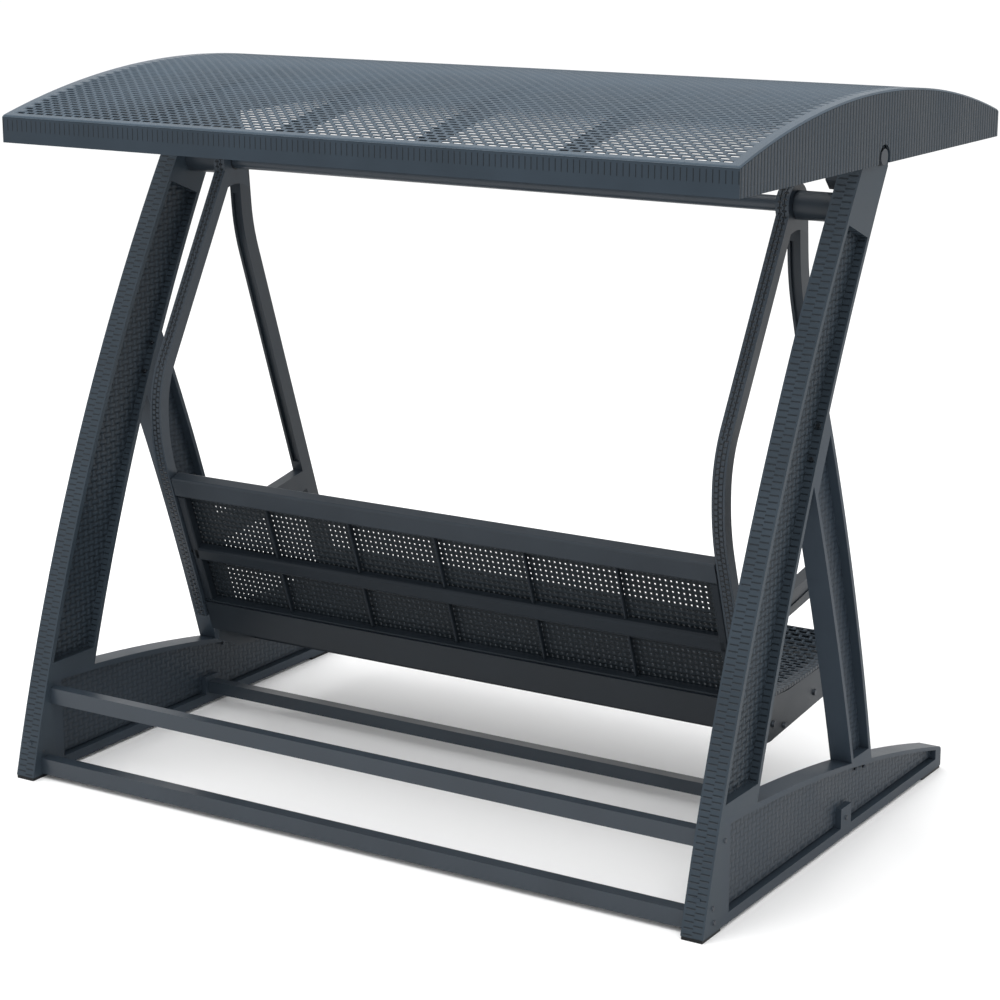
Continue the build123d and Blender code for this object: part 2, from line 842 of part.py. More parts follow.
# ---- bench: outlines of the backrest and seat in side view ---------------------------------------
back_length = sqrt((back_top - back_foot) ** 2 + (back_top_height - back_foot_height) ** 2)
back_lean = (back_foot - back_top) / back_length       # backwards per millimetre of length
back_climb = (back_top_height - back_foot_height) / back_length


def on_back(up, out):
    """A point by its distance up the backrest's rear face and its distance in front of it."""
    return at(
        back_foot - up * back_lean + out * back_climb,
        back_foot_height + up * back_climb + out * back_lean,
    )


def back_strip(low, high, near, far):
    return closed(on_back(low, near), on_back(high, near), on_back(high, far), on_back(low, far))


panel_bottom = rear_rail_rise
panel_top = back_length - top_rail_height
rear_rail_outline = back_strip(-rear_rail_fall, rear_rail_rise, 0, rear_rail_depth)
panel_outline = back_strip(panel_bottom, panel_top, 0, back_thickness)
top_rail_outline = back_strip(panel_top, back_length, 0, top_rail_depth)


def seat_outline():
    with BuildSketch() as outline:
        with BuildLine():
            top = FilletPolyline(
                at(seat_rear, seat_rear_height),
                at(seat_dip, seat_dip_height),
                at(seat_knee, seat_knee_height),
                at(seat_lip, seat_lip_height),
                at(seat_front, seat_lip_height),
                at(seat_front + seat_skin, seat_lip_height - seat_lip_drop),
                radius=[seat_dip_radius, seat_knee_radius, seat_lip_radius, seat_nose_radius],
            )
            under = FilletPolyline(
                at(seat_rear, seat_rear_height - seat_skin),
                at(seat_dip, seat_dip_height - seat_skin),
                at(seat_knee + seat_under_shift, seat_knee_height - seat_skin),
                at(seat_lip + seat_under_shift, seat_lip_height - seat_skin),
                at(seat_front - seat_skin + seat_nose_shift, seat_lip_height - seat_skin),
                at(seat_front, seat_lip_height - seat_lip_drop),
                radius=[seat_dip_radius, seat_knee_radius, seat_lip_radius, seat_nose_inner_radius],
            )
            Line(top @ 0, under @ 0)
            Line(top @ 1, under @ 1)
        make_face()
        add(panel_outline, mode=Mode.SUBTRACT)
        add(rear_rail_outline, mode=Mode.SUBTRACT)
    return outline.sketch


seat_profile = seat_outline()
rail_half = bench_width / 2
inside_half = rail_half - side_rail_thickness

# ---- bench: seat pan ----------------------------------------------------------------------------
seat_pan = plate(seat_profile, -rail_half, bench_width)
save(seat_pan, "seat_pan")

# ---- bench: side rails --------------------------------------------------------------------------
rear_rail_bolt = at(rear_rail_bolt_forward, rear_rail_bolt_height)
middle_rail_bolt = at(middle_rail_bolt_forward, middle_rail_bolt_height)
front_rail_bolt = at(front_rail_bolt_forward, front_rail_bolt_height)
with BuildPart() as side_rail:
    with BuildSketch(Plane.YZ.offset(inside_half)):
        add(
            closed(
                at(rail_rear, seat_rear_height - seat_skin / 2),
                at(seat_dip, seat_dip_height - seat_skin / 2),
                at(seat_knee, seat_knee_height - seat_skin / 2),
                at(seat_lip, seat_lip_height - seat_skin / 2),
                at(seat_front - seat_skin, seat_lip_height - seat_skin / 2),
                at(rail_nose, rail_nose_height),
                at(rail_front, rail_front_height),
                at(rail_low, rail_low_height),
                at(rail_heel, rail_heel_height),
                at(rail_rear, rail_rear_height),
            )
        )
        add(seat_profile, mode=Mode.SUBTRACT)
        add(panel_outline, mode=Mode.SUBTRACT)
        add(rear_rail_outline, mode=Mode.SUBTRACT)
        with Locations(front_arm_foot, rear_rail_bolt, middle_rail_bolt, front_rail_bolt):
            Circle(bolt_radius + fixed_clearance, mode=Mode.SUBTRACT)
    extrude(amount=side_rail_thickness)
save_pair(side_rail, "seat_side_rail")


# ---- bench: pressed channels, closed at their ends -----------------------------------------------
def channel(outline, hollow, half_length, holes):
    """A bar across the bench, hollowed between its closed ends, with bolt holes in the ends."""
    with BuildPart() as piece:
        with BuildSketch(Plane.YZ.offset(-half_length)):
            add(outline)
        extrude(amount=2 * half_length)
        with BuildSketch(Plane.YZ.offset(-half_length + channel_end)):
            add(hollow)
        extrude(amount=2 * (half_length - channel_end), mode=Mode.SUBTRACT)
        for hole in holes:
            with BuildSketch(Plane.YZ.offset(-half_length)):
                with Locations(hole):
                    Circle(bolt_radius + fixed_clearance)
            extrude(amount=channel_end, mode=Mode.SUBTRACT)
            with BuildSketch(Plane.YZ.offset(half_length)):
                with Locations(hole):
                    Circle(bolt_radius + fixed_clearance)
            extrude(amount=-channel_end, mode=Mode.SUBTRACT)
    return piece


def bearer_outline(bearer, inset=0.0):
    """A bearer under the seat pan, open below when inset."""
    forward, underside, depth = bearer
    bottom = underside - inset
    with BuildSketch() as outline:
        add(
            closed(
                at(forward + inset, bottom),
                at(forward + inset, seat_lip_height - inset),
                at(forward + depth - inset, seat_lip_height - inset),
                at(forward + depth - inset, bottom),
            )
        )
        with Locations((0, -inset)):
            add(seat_profile, mode=Mode.SUBTRACT)
    return outline.sketch.faces().sort_by(Axis.Y)[0]


rear_rail = channel(
    rear_rail_outline,
    back_strip(
        channel_wall - rear_rail_fall,
        rear_rail_rise - channel_wall,
        channel_wall,
        rear_rail_depth,
    ),
    rail_half,
    [rear_arm_foot],
)
save(rear_rail, "seat_rear_rail")
rear_bearer = (rear_bearer_forward, rear_bearer_underside, rear_bearer_depth)
front_bearer = (front_bearer_forward, front_bearer_underside, front_bearer_depth)
front_rail = (front_rail_forward, front_rail_underside, front_rail_depth)
for name, bearer, holes in (
    ("seat_rear_bearer", rear_bearer, [rear_rail_bolt, middle_rail_bolt]),
    ("seat_front_bearer", front_bearer, [front_rail_bolt]),
    ("seat_front_rail", front_rail, []),
):
    save(
        channel(bearer_outline(bearer), bearer_outline(bearer, channel_wall), inside_half, holes),
        name,
    )

# ---- bench: backrest ----------------------------------------------------------------------------
back_plane = Plane(
    origin=(0, *on_back(0, 0)),
    x_dir=(1, 0, 0),
    z_dir=(0, on_back(0, 0)[0] - on_back(0, 1)[0], on_back(0, 0)[1] - on_back(0, 1)[1]),
)
with BuildPart() as backrest_panel:
    with BuildSketch(Plane.YZ.offset(-rail_half)):
        add(panel_outline)
    extrude(amount=bench_width)
    # two rows of recessed fields in the rear face
    field_pitch = (bench_width - 2 * back_edge + back_rib) / back_columns
    upper_top = panel_top - back_top_band
    upper_low = upper_top - back_upper_field
    lower_top = upper_low - back_middle_band
    lower_low = panel_bottom + back_lower_band
    for low, high in ((upper_low, upper_top), (lower_low, lower_top)):
        with BuildSketch(back_plane):
            direction = -1 if back_plane.y_dir.Z < 0 else 1
            with Locations((0, direction * (low + high) / 2)):
                with GridLocations(field_pitch, 1, back_columns, 1):
                    Rectangle(field_pitch - back_rib, high - low)
        extrude(amount=-(back_thickness - back_skin), mode=Mode.SUBTRACT)
    with BuildSketch(Plane.YZ.offset(-rail_half)):
        with Locations(rear_arm_back):
            Circle(bolt_radius + fixed_clearance)
    extrude(amount=channel_end, mode=Mode.SUBTRACT)
    with BuildSketch(Plane.YZ.offset(rail_half)):
        with Locations(rear_arm_back):
            Circle(bolt_radius + fixed_clearance)
    extrude(amount=-channel_end, mode=Mode.SUBTRACT)
save(backrest_panel, "backrest_panel")

with BuildPart() as top_rail:
    with BuildSketch(Plane.YZ.offset(-rail_half)):
        add(top_rail_outline)
    extrude(amount=bench_width)
    fillet(top_rail.edges().filter_by(Axis.X).group_by(Axis.Z)[-1], top_rail_round)
    fillet(top_rail.edges().filter_by(Axis.X).group_by(Axis.Z)[-3], top_rail_round)
save(top_rail, "backrest_top_rail")

# ---- bench: spacers and bolts -------------------------------------------------------------------
arm_places = (rear_arm_foot, rear_arm_back, front_arm_foot)
with BuildPart() as arm_spacers:
    for start in (-arm_inner, rail_half):
        with BuildSketch(Plane.YZ.offset(start)):
            with Locations(*arm_places):
                Circle(bolt_head_radius)
                Circle(bolt_radius + fixed_clearance, mode=Mode.SUBTRACT)
        extrude(amount=arm_gap)
save(arm_spacers, "arm_spacers")
arm_bolts = bolts(
    arm_places,
    arm_thickness + arm_gap + side_rail_thickness - arm_bolt_end_gap,
    bolt_radius,
    bolt_head_radius,
    bolt_head_height,
    arm_outer,
)
save(arm_bolts, "arm_bolts")
side_rail_bolts = bolts(
    [rear_rail_bolt, middle_rail_bolt, front_rail_bolt],
    side_rail_thickness + channel_end - bolt_end_gap,
    bolt_radius,
    bolt_head_radius,
    bolt_head_height,
    rail_half,
)
save(side_rail_bolts, "side_rail_bolts")

# ---- canopy: outlines ---------------------------------------------------------------------------
canopy_bottom = pivot_height - canopy_below_pivot
canopy_spring = canopy_bottom + rim_height
bracket_bottom = pivot_height - bracket_drop


def roof_under(drop, bottom):
    """Everything under the roof's outer curve, lowered by drop, down to a level."""
    return closed(
        at(canopy_back, bottom),
        at(canopy_back, canopy_spring - drop),
        canopy_rise,
        at(overall_depth, canopy_spring - drop),
        at(overall_depth, bottom),
    )


def canopy_piece(outline, x, thickness):
    """A piece under the roof skin, between its underside and the outline given."""
    with BuildPart() as piece:
        with BuildSketch(Plane.YZ.offset(x)):
            add(outline)
            add(roof_under(roof_thickness, bracket_bottom), mode=Mode.INTERSECT)
        extrude(amount=thickness)
    return piece


# ---- canopy: roof, rims, end panels and ribs -----------------------------------------------------
bracket_outer = leg_inner - bracket_gap
bracket_inner = bracket_outer - bracket_thickness
roof_screws = edge_frames(
    at(canopy_back, canopy_spring - roof_thickness),
    at(overall_depth, canopy_spring - roof_thickness),
    canopy_rise,
    (rear_roof_screw, front_roof_screw),
    [side * (bracket_inner - bracket_flange_width / 2) for side in (-1, 1)],
)
with BuildPart() as roof:
    with BuildSketch(Plane.YZ.offset(-canopy_half)):
        add(roof_under(0, canopy_spring - roof_thickness))
        add(roof_under(roof_thickness, bracket_bottom), mode=Mode.SUBTRACT)
    extrude(amount=2 * canopy_half)
    add(screw_rods(roof_screws, screw_hole, -overcut, roof_screw_bite), mode=Mode.SUBTRACT)
save(roof, "canopy_roof")


def rim_outline(outside, inward):
    """An upright face with a lip turned in along its lower edge."""
    with BuildSketch() as outline:
        for reach, top in ((rim_thickness, canopy_spring), (rim_lip, canopy_bottom + rim_thickness)):
            add(
                closed(
                    at(outside, canopy_bottom),
                    at(outside + inward * reach, canopy_bottom),
                    at(outside + inward * reach, top),
                    at(outside, top),
                )
            )
    return outline.sketch


rim_half = canopy_half - end_panel_thickness
save(canopy_piece(rim_outline(canopy_back, 1), -rim_half, 2 * rim_half), "canopy_rear_rim")
save(canopy_piece(rim_outline(overall_depth, -1), -rim_half, 2 * rim_half), "canopy_front_rim")

with BuildPart() as end_panel:
    with BuildSketch(Plane.YZ.offset(rim_half)):
        add(roof_under(roof_thickness, canopy_bottom))
        # notch round the pivot, open below
        with Locations(pivot_point):
            Circle(notch_radius, mode=Mode.SUBTRACT)
        with Locations((pivot_point[0], canopy_bottom)):
            Rectangle(2 * notch_radius, 2 * (pivot_height - canopy_bottom), mode=Mode.SUBTRACT)
    extrude(amount=end_panel_thickness)
save_pair(end_panel, "canopy_end")

with BuildSketch() as rib_outline:
    add(roof_under(roof_thickness, bracket_bottom))
    add(roof_under(roof_thickness + rib_depth, bracket_bottom), mode=Mode.SUBTRACT)
    with Locations(at((canopy_back + overall_depth) / 2, canopy_bottom)):
        Rectangle(canopy_depth - 2 * rim_thickness, canopy_depth, mode=Mode.INTERSECT)
rib_places = (-outer_rib_place, -inner_rib_place, inner_rib_place, outer_rib_place)
for number, place in enumerate(rib_places, start=1):
    rib = plate(rib_outline.sketch, place - rib_thickness / 2, rib_thickness)
    save(rib, f"canopy_rib_{number}")

# ---- canopy: pivot brackets and their screws -----------------------------------------------------
roof_top = canopy_spring + canopy_rise
with BuildPart() as bracket:
    with BuildSketch(Plane.YZ.offset(bracket_inner)):
        add(
            closed(
                at(pivot_forward - bracket_half + bracket_chamfer, bracket_bottom),
                at(pivot_forward - bracket_half, bracket_bottom + bracket_chamfer),
                at(pivot_forward - bracket_half, roof_top),
                at(pivot_forward + bracket_half, roof_top),
                at(pivot_forward + bracket_half, bracket_bottom + bracket_chamfer),
                at(pivot_forward + bracket_half - bracket_chamfer, bracket_bottom),
            )
        )
        add(roof_under(roof_thickness, bracket_bottom - overcut), mode=Mode.INTERSECT)
        with Locations(pivot_point):
            Circle(pivot_bolt_radius + fixed_clearance, mode=Mode.SUBTRACT)
    extrude(amount=bracket_thickness)
    # flange under the roof
    with BuildSketch(Plane.YZ.offset(bracket_inner)):
        with Locations((pivot_point[0], roof_top)):
            Rectangle(2 * bracket_half, 4 * canopy_rise)
        add(roof_under(roof_thickness, bracket_bottom - overcut), mode=Mode.INTERSECT)
        add(roof_under(roof_thickness + bracket_flange, bracket_bottom - overcut), mode=Mode.SUBTRACT)
    extrude(amount=-bracket_flange_width)
    add(screw_rods(roof_screws, screw_hole, -bracket_flange - overcut, overcut), mode=Mode.SUBTRACT)
save_pair(bracket, "canopy_bracket")

with BuildPart() as roof_screw_set:
    head_top = -bracket_flange - screw_seat_gap
    add(screw_rods(roof_screws, screw_radius, head_top, roof_screw_bite))
    add(screw_rods(roof_screws, screw_head_radius, head_top - screw_head_height / 2, head_top))
save(roof_screw_set, "canopy_screws")

# ---- frame: canopy pivots -----------------------------------------------------------------------
with BuildPart() as pivot_washers:
    for start in (-leg_inner, bracket_outer):
        with BuildSketch(Plane.YZ.offset(start)):
            with Locations(pivot_point):
                Circle(pivot_washer_radius)
                Circle(pivot_bolt_radius + fixed_clearance, mode=Mode.SUBTRACT)
        extrude(amount=bracket_gap)
save(pivot_washers, "pivot_washers")
pivot_bolts = bolts(
    [pivot_point],
    leg_thickness + bracket_gap + bracket_thickness + pivot_nut_thickness,
    pivot_bolt_radius,
    pivot_head_radius,
    pivot_head_height,
    leg_outer,
    pivot_head_taper,
)
save(pivot_bolts, "canopy_pivot_bolts")
with BuildPart() as pivot_nuts:
    for start in (-bracket_inner, bracket_inner - pivot_nut_thickness):
        with BuildSketch(Plane.YZ.offset(start)):
            with Locations(pivot_point):
                RegularPolygon(pivot_nut_radius, 6)
                Circle(pivot_bolt_radius + fixed_clearance, mode=Mode.SUBTRACT)
        extrude(amount=pivot_nut_thickness)
save(pivot_nuts, "pivot_nuts")
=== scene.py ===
"""Porch swing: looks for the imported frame, hanging bench and arched canopy.

Metres, +Z up, the seat faces -Y.
"""
import math

import bmesh
import bpy
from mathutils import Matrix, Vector


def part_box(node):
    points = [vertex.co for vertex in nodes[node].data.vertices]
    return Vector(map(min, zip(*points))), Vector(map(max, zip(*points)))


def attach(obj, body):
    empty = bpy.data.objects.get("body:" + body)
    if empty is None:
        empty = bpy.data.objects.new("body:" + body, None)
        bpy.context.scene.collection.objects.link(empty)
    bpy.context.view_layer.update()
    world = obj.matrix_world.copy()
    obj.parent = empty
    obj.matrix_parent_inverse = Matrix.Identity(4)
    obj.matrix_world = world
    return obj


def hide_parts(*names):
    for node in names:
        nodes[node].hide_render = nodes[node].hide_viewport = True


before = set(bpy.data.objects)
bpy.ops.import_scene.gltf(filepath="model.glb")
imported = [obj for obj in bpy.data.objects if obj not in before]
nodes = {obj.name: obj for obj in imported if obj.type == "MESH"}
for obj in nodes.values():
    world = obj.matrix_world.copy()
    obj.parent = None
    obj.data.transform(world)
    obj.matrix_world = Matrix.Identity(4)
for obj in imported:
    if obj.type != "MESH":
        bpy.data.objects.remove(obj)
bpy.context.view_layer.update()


# ---- Legs ----------------------------------------------------------------------------------------
# The two curved rear legs, front legs and foot beams are injection-moulded polypropylene with glass
# fibre, screwed together. Their edges are moulded like wrapped reed and their webs like basket weave.
def linear(hex_colour):
    """An sRGB hex colour as linear RGBA."""
    channels = [int(hex_colour[i:i + 2], 16) / 255 for i in (1, 3, 5)]
    return tuple(c / 12.92 if c <= 0.04045 else ((c + 0.055) / 1.055) ** 2.4 for c in channels) + (1.0,)


def add_node(tree, kind, inputs=None, **settings):
    """Adds a node to a material, with its settings and its links or values."""
    node = tree.nodes.new(kind)
    for name, value in settings.items():
        setattr(node, name, value)
    for socket, value in (inputs or {}).items():
        if isinstance(value, bpy.types.NodeSocket):
            tree.links.new(value, node.inputs[socket])
        else:
            node.inputs[socket].default_value = value
    return node


def moulded_resin(name, colour, gap_colour, roughness, strands=None, grain_mm=1.2, bump=0.0016,
                  gloss=0.15):
    """Moulded polypropylene. strands(tree, x, y, z, sideways) gives a relief from 0 in the gaps to 1."""
    side_facing = 0.6            # a face turned this far towards X counts as sideways
    patches_per_metre = 6.0
    patch_low = 0.3
    patch_high = 0.7
    grain_depth = 0.00015
    material = bpy.data.materials.new(name)
    material.use_nodes = True
    tree = material.node_tree
    tree.nodes.clear()
    place = add_node(tree, "ShaderNodeTexCoord").outputs["Object"]
    split = add_node(tree, "ShaderNodeSeparateXYZ", {0: place})
    facing = add_node(tree, "ShaderNodeNewGeometry").outputs["Normal"]
    facing_x = add_node(tree, "ShaderNodeSeparateXYZ", {0: facing}).outputs["X"]
    size_x = add_node(tree, "ShaderNodeMath", {0: facing_x}, operation="ABSOLUTE").outputs[0]
    sideways = add_node(tree, "ShaderNodeMath", {0: size_x, 1: side_facing},
                        operation="GREATER_THAN").outputs[0]

    # moulded grain, and slow patches of paler, weathered resin
    grain = add_node(tree, "ShaderNodeTexNoise", {"Vector": place, "Scale": 1000 / grain_mm, "Detail": 2.0})
    patches = add_node(tree, "ShaderNodeTexNoise",
                       {"Vector": place, "Scale": patches_per_metre, "Detail": 3.0})
    pale = add_node(tree, "ShaderNodeMapRange",
                    {0: patches.outputs[0], 1: patch_low, 2: patch_high, 3: 0.9, 4: 1.1})
    tint = add_node(tree, "ShaderNodeVectorMath", {0: linear(colour)[:3], "Scale": pale.outputs[0]},
                    operation="SCALE")
    if strands:
        # where the relief falls to its gaps the colour darkens to gap_colour: painted shade in the hollows
        # between strands
        relief = strands(tree, split.outputs["X"], split.outputs["Y"], split.outputs["Z"], sideways)
        shade = add_node(tree, "ShaderNodeMix", {0: relief, 6: linear(gap_colour), 7: tint.outputs[0]},
                         data_type="RGBA").outputs[2]
    else:
        relief = None
        shade = tint.outputs[0]
    fine = add_node(tree, "ShaderNodeBump",
                    {"Height": grain.outputs[0], "Distance": grain_depth, "Strength": 0.6}).outputs[0]
    normal = fine
    if relief:
        normal = add_node(tree, "ShaderNodeBump",
                          {"Height": relief, "Distance": bump, "Strength": 1.0, "Normal": fine}).outputs[0]
    rough = add_node(tree, "ShaderNodeMapRange",
                     {0: patches.outputs[0], 1: patch_low, 2: patch_high,
                      3: roughness - 0.05, 4: roughness + 0.06})
    shader = add_node(tree, "ShaderNodeBsdfPrincipled",
                      {"Base Color": shade, "Roughness": rough.outputs[0], "Normal": normal, "IOR": 1.49,
                       "Specular IOR Level": gloss})
    add_node(tree, "ShaderNodeOutputMaterial", {"Surface": shader.outputs[0]})
    return material


def bricks(tree, along, across, length_mm, pitch_mm, gap_mm, offset=0.5):
    """Strands of a length and pitch, laid like bricks: 1 on a strand, 0 in the gaps."""
    vector = add_node(tree, "ShaderNodeCombineXYZ", {0: along, 1: across}).outputs[0]
    brick = add_node(
        tree, "ShaderNodeTexBrick",
        {"Vector": vector, "Color1": (1, 1, 1, 1), "Color2": (0.86, 0.86, 0.86, 1), "Mortar": (0, 0, 0, 1),
         "Scale": 1.0, "Mortar Size": gap_mm / 1000, "Mortar Smooth": 0.6,
         "Brick Width": length_mm / 1000, "Row Height": pitch_mm / 1000},
        offset=offset)
    return brick.outputs["Color"]


def wicker(tree, along, up, stake_mm, strand_mm):
    """Strands woven in front of and behind upright stakes, every other row the other way."""
    rows = add_node(tree, "ShaderNodeMath", {0: up, 1: 1000 / strand_mm}, operation="MULTIPLY").outputs[0]
    row = add_node(tree, "ShaderNodeMath", {0: rows}, operation="FLOOR").outputs[0]
    across = add_node(tree, "ShaderNodeMath", {0: rows}, operation="FRACT").outputs[0]
    half_turn = add_node(tree, "ShaderNodeMath", {0: across, 1: math.pi}, operation="MULTIPLY").outputs[0]
    round_strand = add_node(tree, "ShaderNodeMath", {0: half_turn}, operation="SINE").outputs[0]
    shift = add_node(tree, "ShaderNodeMath", {0: row, 1: math.pi}, operation="MULTIPLY").outputs[0]
    wave = add_node(tree, "ShaderNodeMath", {0: along, 1: math.pi * 1000 / stake_mm, 2: shift},
                    operation="MULTIPLY_ADD").outputs[0]
    swing = add_node(tree, "ShaderNodeMath", {0: wave}, operation="COSINE").outputs[0]
    over = add_node(tree, "ShaderNodeMath", {0: swing, 1: 0.5, 2: 0.5}, operation="MULTIPLY_ADD").outputs[0]
    under = add_node(tree, "ShaderNodeMath", {0: swing, 1: -0.5, 2: 0.5},
                     operation="MULTIPLY_ADD").outputs[0]
    bow = add_node(tree, "ShaderNodeMath", {0: over, 1: 0.5}, operation="POWER").outputs[0]
    strand = add_node(tree, "ShaderNodeMath", {0: bow, 1: round_strand}, operation="MULTIPLY").outputs[0]
    stake = add_node(tree, "ShaderNodeMath", {0: under, 1: 3.0}, operation="POWER").outputs[0]
    return add_node(tree, "ShaderNodeMath", {0: strand, 1: stake}, operation="MAXIMUM").outputs[0]


def choose(tree, pick, when_0, when_1):
    """One relief where pick is 0, the other where it is 1."""
    return add_node(tree, "ShaderNodeMix", {0: pick, 6: when_0, 7: when_1}, data_type="RGBA").outputs[2]


def from_middle(tree, x, middle):
    """How far a point is from the middle of a side, whichever side it is on."""
    outward = add_node(tree, "ShaderNodeMath", {0: x}, operation="ABSOLUTE").outputs[0]
    offset = add_node(tree, "ShaderNodeMath", {0: outward, 1: middle}, operation="SUBTRACT").outputs[0]
    return add_node(tree, "ShaderNodeMath", {0: offset}, operation="ABSOLUTE").outputs[0]


def reeds(tree, along, column, pitch_mm, column_mm, sharpness):
    """Rounded reeds lying side by side, every other column half a reed over: 1 on a reed, 0 between."""
    columns = add_node(tree, "ShaderNodeMath", {0: column, 1: 1000 / column_mm},
                       operation="MULTIPLY").outputs[0]
    number = add_node(tree, "ShaderNodeMath", {0: columns}, operation="FLOOR").outputs[0]
    shift = add_node(tree, "ShaderNodeMath", {0: number, 1: math.pi / 2}, operation="MULTIPLY").outputs[0]
    wave = add_node(tree, "ShaderNodeMath", {0: along, 1: math.pi * 1000 / pitch_mm, 2: shift},
                    operation="MULTIPLY_ADD").outputs[0]
    swing = add_node(tree, "ShaderNodeMath", {0: wave}, operation="SINE").outputs[0]
    size = add_node(tree, "ShaderNodeMath", {0: swing}, operation="ABSOLUTE").outputs[0]
    return add_node(tree, "ShaderNodeMath", {0: size, 1: sharpness}, operation="MULTIPLY",
                    use_clamp=True).outputs[0]


# strands are 14.7 mm apart everywhere; on the webs they pass stakes 19.6 mm apart
WHOLE = (1, 1, 1, 1)             # plain surface, with no gap between strands
strand_mm = 14.7
stake_mm = 19.6
leg_middle = 0.9405
leg_half = 0.0275
web_reach = 0.014                # a web's face lies no further than this from the leg's middle
plain_corner = 0.005
tick_share = 0.92                # the ticks sit a little closer than the strands


def woven_web(tree, x, y, z, sideways):
    """Basket weave on a web's sides; its edges stay plain."""
    deep = from_middle(tree, x, leg_middle)
    in_pocket = add_node(tree, "ShaderNodeMath", {0: deep, 1: web_reach}, operation="LESS_THAN").outputs[0]
    both = add_node(tree, "ShaderNodeMath", {0: in_pocket, 1: sideways}, operation="MULTIPLY").outputs[0]
    return choose(tree, both, WHOLE, wicker(tree, y, z, stake_mm, strand_mm))


def wrapped_reed(tree, x, y, z, sideways):
    """Wrapped reed on the rear leg's edges: two columns of ticks, the corners left plain."""
    outward = add_node(tree, "ShaderNodeMath", {0: x}, operation="ABSOLUTE").outputs[0]
    column = add_node(tree, "ShaderNodeMath", {0: outward, 1: leg_middle - leg_half},
                      operation="SUBTRACT").outputs[0]
    ticks = reeds(tree, z, column, strand_mm * tick_share, leg_half * 1000, 2.0)
    deep = from_middle(tree, x, leg_middle)
    corner = add_node(tree, "ShaderNodeMath", {0: deep, 1: leg_half - plain_corner},
                      operation="GREATER_THAN").outputs[0]
    edge = choose(tree, corner, ticks, WHOLE)
    return choose(tree, sideways, edge, woven_web(tree, x, y, z, sideways))


# moulded polypropylene, matt and slightly waxy; the gaps between strands hold shadow
leg_resin = moulded_resin("moulded_polypropylene_wrapped_reed", "#2F3840", "#171C21", 0.42,
                          wrapped_reed, bump=0.002)
web_resin = moulded_resin("moulded_polypropylene_woven_web", "#2E3740", "#20272E", 0.42,
                          woven_web, bump=0.001)


def dress(material, *names):
    """Puts one material on whole CAD nodes."""
    for name in names:
        mesh = nodes[name].data
        if not mesh.materials:
            mesh.materials.append(material)
        for place in range(len(mesh.materials)):
            mesh.materials[place] = material


dress(leg_resin, "rear_leg_left", "rear_leg_right")
dress(web_resin, "front_leg_left", "front_leg_right", "foot_beam_left", "foot_beam_right")

# ---- Foot pads, plugs, bushes and washers --------------------------------------------------------
# Small parts of black acetal and rubberised plastic, moulded and pressed or screwed in place.
# They are darker and a little glossier than the furniture.
black_plastic = moulded_resin("moulded_black_acetal", "#15171A", "#0C0D0F", 0.42, grain_mm=0.8)
dress(black_plastic, "foot_pads", "crossbar_plugs", "hub_bushes", "pivot_washers")

# ---- Crossbars, axle and rails -------------------------------------------------------------------
# Rectangular steel tubes between the sides, the round axle, and the pressed channels under the seat.
# All are welded or pressed steel with a baked powder coat, which leaves fine orange peel.
powder_coat = moulded_resin("powder_coated_steel", "#2B333B", "#2B333B", 0.34, grain_mm=2.2, gloss=0.35)
dress(powder_coat, "rear_low_crossbar", "rear_high_crossbar", "middle_crossbar", "axle_tube")
# the same powder coat, drawn darker on the rails and bearers as painted shade under the seat
shaded_coat = moulded_resin("powder_coated_pressed_steel_shaded", "#1A2026", "#1A2026", 0.4, grain_mm=2.2,
                          gloss=0.25)
dress(shaded_coat, "seat_rear_rail", "seat_front_rail", "seat_rear_bearer", "seat_front_bearer")

# ---- Axle sleeves, armrests, rails and brackets --------------------------------------------------
# Plain moulded polypropylene pieces with a fine spark-eroded grain: the spacer sleeves on the axle,
# the armrests, the seat's side rails, the canopy's ribs and its pivot brackets.
plain_resin = moulded_resin("moulded_polypropylene_plain", "#262D34", "#262D34", 0.4, gloss=0.25)
dress(plain_resin, "axle_sleeve_left", "axle_sleeve_right", "armrest_left", "armrest_right",
      "seat_side_rail_left", "seat_side_rail_right",
      "canopy_bracket_left", "canopy_bracket_right",
      "canopy_rib_1", "canopy_rib_2", "canopy_rib_3", "canopy_rib_4")

# ---- Bolts and screws ----------------------------------------------------------------------------
# Domed bolts, cap screws, nuts and spacers in blackened steel.
# Oiled oxide gives a dark satin metal with a faint mottle.
blackened = bpy.data.materials.new("blackened_steel")
blackened.use_nodes = True
tree = blackened.node_tree
tree.nodes.clear()
mottle_mm = 2.5
place = add_node(tree, "ShaderNodeTexCoord").outputs["Object"]
mottle = add_node(tree, "ShaderNodeTexNoise",
                  {"Vector": place, "Scale": 1000 / mottle_mm, "Detail": 3.0}).outputs[0]
oxide = add_node(tree, "ShaderNodeMix", {0: mottle, 6: linear("#33373C"), 7: linear("#4A4F55")},
                 data_type="RGBA").outputs[2]
scuff = add_node(tree, "ShaderNodeMapRange", {0: mottle, 3: 0.3, 4: 0.5}).outputs[0]
steel = add_node(tree, "ShaderNodeBsdfPrincipled",
                 {"Base Color": oxide, "Roughness": scuff, "Metallic": 1.0})
add_node(tree, "ShaderNodeOutputMaterial", {"Surface": steel.outputs[0]})
dress(blackened, "crossbar_bolts", "foot_joint_bolts", "leg_joint_screws", "canopy_pivot_bolts",
      "pivot_nuts", "arm_bolts", "side_rail_bolts", "arm_spacers", "canopy_screws")


# ---- Hanger arms ---------------------------------------------------------------------------------
# The S-shaped rear arms and bowed front arms, moulded polypropylene over steel, clamped on the axle.
# A braid two strands wide is moulded down the rear arms' front and rear faces; the rest is plain.
arm_middle = 0.7915
strand_width = 0.011
bead_share = 0.9                 # beads of the braid sit a little closer than the strands


